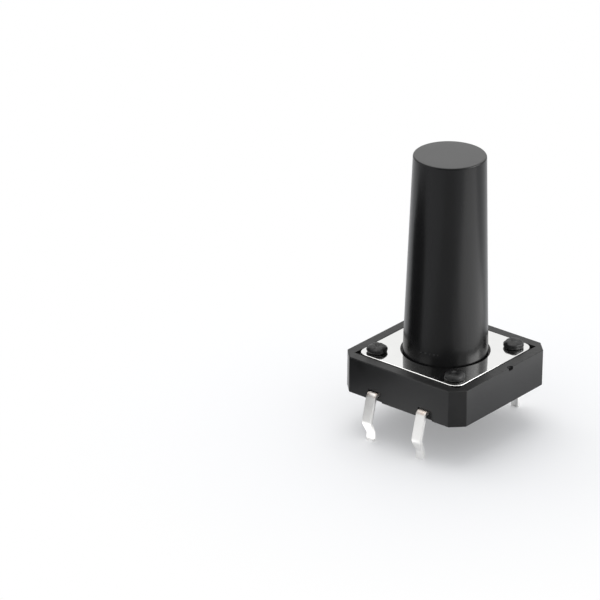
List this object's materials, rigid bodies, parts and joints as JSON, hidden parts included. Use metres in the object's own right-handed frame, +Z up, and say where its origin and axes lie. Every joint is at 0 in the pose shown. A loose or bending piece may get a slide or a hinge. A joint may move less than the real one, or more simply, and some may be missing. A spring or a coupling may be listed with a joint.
{
  "type": "tactile push-button switch",
  "caption": "Square board-mounted tactile switch with a tall tapered round button, a polished cover plate staked to a black moulded base, and kinked tinned legs on two sides.",
  "frame": {"origin": "centre of the seating plane, where the four corner pads stand on the circuit board", "axes": "+Z up the stem, out of the board; +X across the housing from one row of legs to the other; +Y along a row of legs"},
  "size_m": [0.0138, 0.012, 0.0233],
  "materials": {
    "housing_plastic": "moulded black, satin",
    "stem_plastic": "moulded black, satin gloss",
    "cover_steel": "polished stainless steel",
    "dome_steel": "spring steel",
    "film": "thin amber film",
    "tinned_strip": "matt tin on brass"
  },
  "bodies": {
    "base": {"housing": "housing_plastic", "cover_plate": "cover_steel", "snap_dome": "dome_steel", "sealing_film": "film", "centre_terminal": "tinned_strip", "outer_terminal": "tinned_strip"},
    "stem": {"push_stem": "stem_plastic"}
  },
  "joints": [
    {"name": "stem_press", "type": "slide", "parent": "base", "child": "stem", "axis": [0, 0, -1], "range_m": [0, 0.0003], "stiffness_N_per_m": 6400, "springref_m": -0.0001, "deforming": ["snap_dome", "sealing_film"]}
  ]
}
